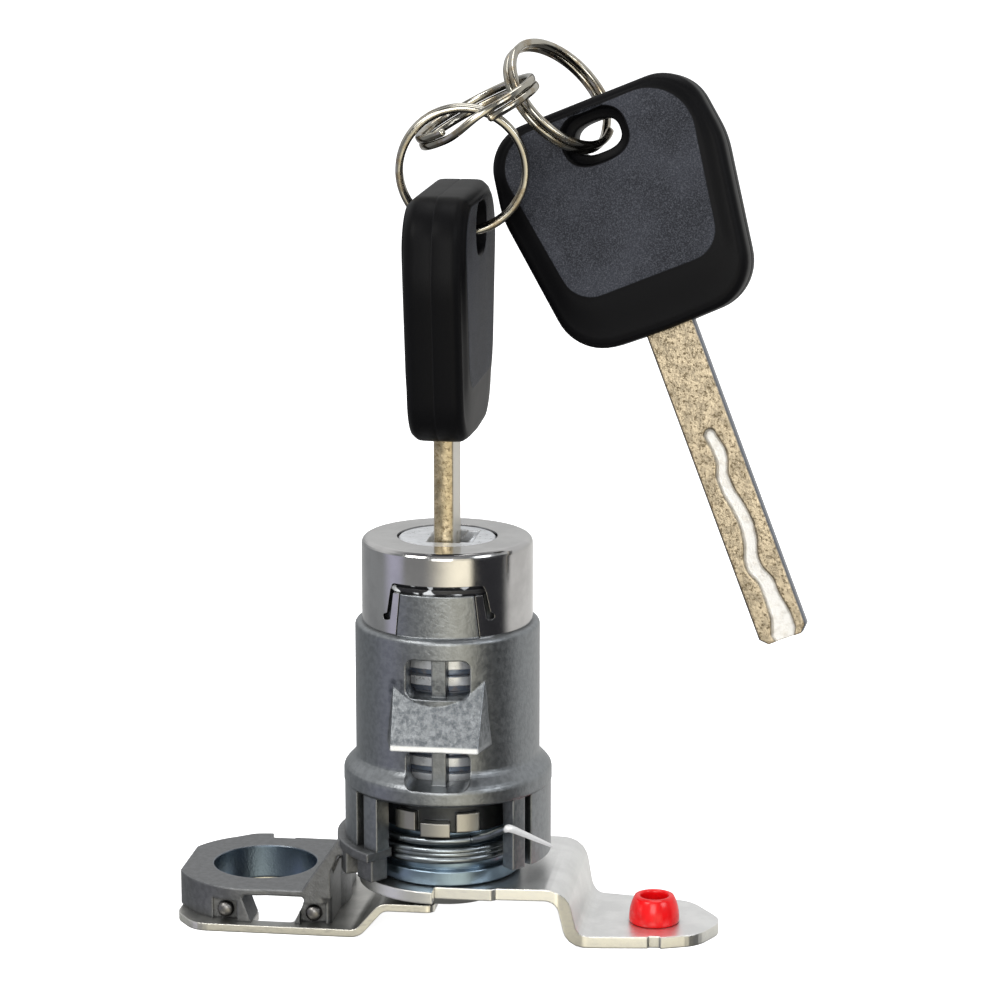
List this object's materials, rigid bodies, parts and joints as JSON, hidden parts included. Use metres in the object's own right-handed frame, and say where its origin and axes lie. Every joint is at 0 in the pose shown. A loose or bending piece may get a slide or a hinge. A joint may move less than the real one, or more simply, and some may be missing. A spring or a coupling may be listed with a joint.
{
  "type": "car door lock cylinder with keys",
  "caption": "Door lock cylinder with a sprung lever and an eye bracket, a key in its plug and a spare key on linked split rings.",
  "frame": {"origin": "On the lock axis, at the shoulder between head and barrel that meets the door skin", "axes": "+Z along the lock axis towards the key, +X along the lever towards its red bush, -Y towards the windows and the viewer"},
  "size_m": [0.0906, 0.0363, 0.1264],
  "materials": {
    "zinc": "satin",
    "polished_steel": "polished",
    "black_rubber": "matte",
    "blasted_zinc": "matte",
    "plated_steel": "satin",
    "rivet_steel": "satin",
    "plug_zinc": "satin",
    "spring_steel": "satin",
    "brass": "satin",
    "black_steel": "satin",
    "dark_spring": "satin",
    "blue_steel": "gloss",
    "red_plastic": "gloss",
    "key_metal": "satin",
    "black_plastic": "satin",
    "nickel": "polished"
  },
  "bodies": {
    "housing": {"housing": "zinc", "face_cap": "polished_steel", "dust_seal": "black_rubber", "eye_bracket": "blasted_zinc", "bracket_strap": "plated_steel", "bracket_rivets": "rivet_steel"},
    "plug": {"plug": "plug_zinc", "shutter": "spring_steel", "shutter_pin": "spring_steel", "sidebar": "brass", "sidebar_springs": "spring_steel", "wafer_springs": "spring_steel", "stop_ring": "black_steel", "return_spring": "dark_spring", "spring_drum": "blue_steel", "lever": "plated_steel", "rod_bush": "red_plastic", "tail_washer": "plated_steel", "tail_clip": "black_steel"},
    "key": {"key_blade": "key_metal", "key_head": "black_plastic"},
    "ring_a": {"split_ring_a": "nickel"},
    "ring_b": {"split_ring_b": "nickel"},
    "ring_c": {"split_ring_c": "nickel"},
    "spare_key": {"spare_blade": "key_metal", "spare_head": "black_plastic"},
    "wafer_1": {"wafer_1": "brass"},
    "wafer_2": {"wafer_2": "brass"},
    "wafer_3": {"wafer_3": "brass"},
    "wafer_4": {"wafer_4": "brass"},
    "wafer_5": {"wafer_5": "brass"},
    "wafer_6": {"wafer_6": "brass"},
    "wafer_7": {"wafer_7": "brass"},
    "wafer_8": {"wafer_8": "brass"}
  },
  "joints": [
    {"name": "plug_turn", "type": "hinge", "parent": "housing", "child": "plug", "pos_m": [0, 0, 0], "axis": [0, 0, 1], "range_deg": [-45, 45], "stiffness_Nm_per_rad": 0.12, "deforming": ["return_spring"]},
    {"name": "key_slide", "type": "slide", "parent": "plug", "child": "key", "axis": [0, 0, 1], "range_m": [0, 0.034]},
    {"name": "ring_a_swing", "type": "hinge", "parent": "key", "child": "ring_a", "pos_m": [0, 0, 0.05532], "axis": [1, 0, 0], "range_deg": [-8, 24]},
    {"name": "ring_c_swing", "type": "hinge", "parent": "ring_a", "child": "ring_c", "pos_m": [0.00224, 0.0001, 0.06361], "axis": [0.1382, -0.9835, -0.1167], "range_deg": [-6, 16]},
    {"name": "ring_b_swing", "type": "hinge", "parent": "ring_c", "child": "ring_b", "pos_m": [0.01152, 0.00305, 0.07566], "axis": [0.2879, -0.9566, 0.0449], "range_deg": [0, 16]},
    {"name": "spare_key_swing", "type": "hinge", "parent": "ring_b", "child": "spare_key", "pos_m": [0.02048, 0.00849, 0.0667], "axis": [0.3059, 0.9195, 0.247], "range_deg": [-12, 8]},
    {"name": "wafer_1_lift", "type": "slide", "parent": "plug", "child": "wafer_1", "axis": [0, 1, 0], "range_m": [0, 0.00025]},
    {"name": "wafer_2_lift", "type": "slide", "parent": "plug", "child": "wafer_2", "axis": [0, 1, 0], "range_m": [0, 0.0006]},
    {"name": "wafer_3_lift", "type": "slide", "parent": "plug", "child": "wafer_3", "axis": [0, 1, 0], "range_m": [0, 0.0004]},
    {"name": "wafer_4_lift", "type": "slide", "parent": "plug", "child": "wafer_4", "axis": [0, 1, 0], "range_m": [0, 0.0009]},
    {"name": "wafer_5_lift", "type": "slide", "parent": "plug", "child": "wafer_5", "axis": [0, 1, 0], "range_m": [0, 0.0003]},
    {"name": "wafer_6_lift", "type": "slide", "parent": "plug", "child": "wafer_6", "axis": [0, 1, 0], "range_m": [0, 0.00075]},
    {"name": "wafer_7_lift", "type": "slide", "parent": "plug", "child": "wafer_7", "axis": [0, 1, 0], "range_m": [0, 0.00045]},
    {"name": "wafer_8_lift", "type": "slide", "parent": "plug", "child": "wafer_8", "axis": [0, 1, 0], "range_m": [0, 0.00065]}
  ],
  "couplings": [
    {"joint": "wafer_1_lift", "follows": "key_slide", "ratio": 0.007353},
    {"joint": "wafer_2_lift", "follows": "key_slide", "ratio": 0.017647},
    {"joint": "wafer_3_lift", "follows": "key_slide", "ratio": 0.011765},
    {"joint": "wafer_4_lift", "follows": "key_slide", "ratio": 0.026471},
    {"joint": "wafer_5_lift", "follows": "key_slide", "ratio": 0.008824},
    {"joint": "wafer_6_lift", "follows": "key_slide", "ratio": 0.022059},
    {"joint": "wafer_7_lift", "follows": "key_slide", "ratio": 0.013235},
    {"joint": "wafer_8_lift", "follows": "key_slide", "ratio": 0.019118}
  ]
}
